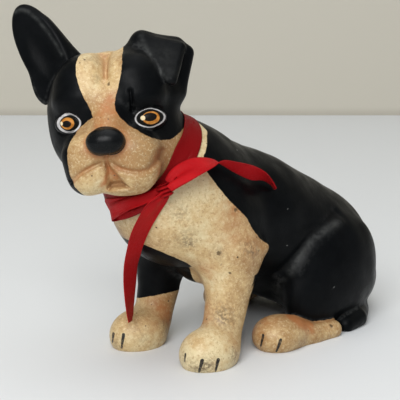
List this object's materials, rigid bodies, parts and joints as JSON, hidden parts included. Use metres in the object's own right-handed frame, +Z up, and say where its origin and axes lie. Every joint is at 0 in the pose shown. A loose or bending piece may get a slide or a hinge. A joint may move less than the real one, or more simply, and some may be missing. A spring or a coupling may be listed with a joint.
{
  "type": "dog doorstop",
  "caption": "Heavy hollow-cast iron doorstop in the form of a seated puppy with its head turned, one ear up and one folded, and a ribbon tied round its neck.",
  "frame": {"origin": "on the floor, under the middle of the whole puppy's length and width", "axes": "+Z up; the body faces -Y, with its left side at +X; the head is turned to its left, between -Y and +X"},
  "size_m": [0.1124, 0.2284, 0.1904],
  "materials": {
    "cream_painted_iron": "hand painted, worn satin",
    "black_painted_iron": "hand painted, worn satin",
    "dark_steel": "darkened",
    "red_ribbon": "woven satin"
  },
  "bodies": {
    "root": {"left_half": "cream_painted_iron", "right_half": "black_painted_iron", "chest_screw": "dark_steel", "rump_screw": "dark_steel", "ribbon_collar": "red_ribbon", "ribbon_knot": "red_ribbon", "ribbon_loop": "red_ribbon", "ribbon_tail_long": "red_ribbon", "ribbon_tail_short": "red_ribbon"}
  },
  "joints": []
}
